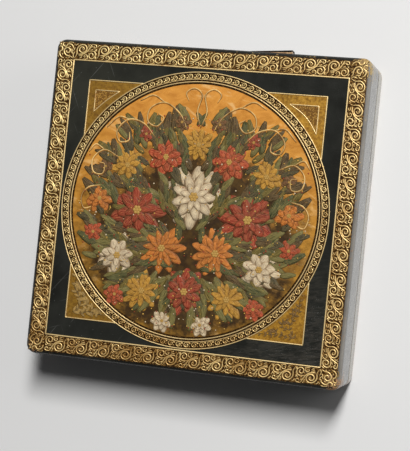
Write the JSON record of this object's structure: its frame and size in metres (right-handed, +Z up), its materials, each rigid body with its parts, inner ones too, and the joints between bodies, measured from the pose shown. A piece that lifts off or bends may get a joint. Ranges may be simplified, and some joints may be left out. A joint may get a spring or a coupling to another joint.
{
  "type": "leather-covered box",
  "caption": "Low square wooden box covered in dark gilt-tooled leather, with a deep hinged lid that opens to a stop and a lined inside with a lip.",
  "frame": {"origin": "centre of the overall box in plan, on the surface that the base rests on", "axes": "+Z up through the lid, +Y towards the hinges at the back, +X to the right as seen from the front"},
  "size_m": [0.2, 0.201, 0.045],
  "materials": {
    "cover_leather": "dark, low sheen",
    "case_wood": "planed",
    "lining_silk": "silk over card",
    "hinge_brass": "aged",
    "torn_leather": "rough flesh side",
    "gilt_tooling": "worn gold leaf",
    "painted_leather": "painted, varnished"
  },
  "bodies": {
    "base": {"base_bottom_board": "case_wood", "base_front_wall": "case_wood", "base_right_wall": "case_wood", "base_back_wall": "case_wood", "base_left_wall": "case_wood", "base_side_leather": "cover_leather", "base_bottom_leather": "cover_leather", "base_floor_pad": "lining_silk", "base_front_lip": "lining_silk", "base_right_lip": "lining_silk", "base_back_lip": "lining_silk", "base_left_lip": "lining_silk", "left_hinge_base_leaf": "hinge_brass", "right_hinge_base_leaf": "hinge_brass", "left_hinge_pin": "hinge_brass", "right_hinge_pin": "hinge_brass", "base_hinge_screws": "hinge_brass"},
    "lid": {"lid_top_board": "case_wood", "lid_front_wall": "case_wood", "lid_right_wall": "case_wood", "lid_back_wall": "case_wood", "lid_left_wall": "case_wood", "lid_leather_cover": "cover_leather", "lid_ceiling_pad": "lining_silk", "lid_front_lining": "lining_silk", "lid_right_lining": "lining_silk", "lid_back_lining": "lining_silk", "lid_left_lining": "lining_silk", "left_hinge_lid_leaf": "hinge_brass", "right_hinge_lid_leaf": "hinge_brass", "lid_hinge_screws": "hinge_brass", "lid_peeled_strip": "torn_leather"}
  },
  "joints": [
    {"name": "lid_hinge", "type": "hinge", "parent": "base", "child": "lid", "pos_m": [0, 0.0947, 0.015], "axis": [-1, 0, 0], "range_deg": [0, 95]}
  ]
}
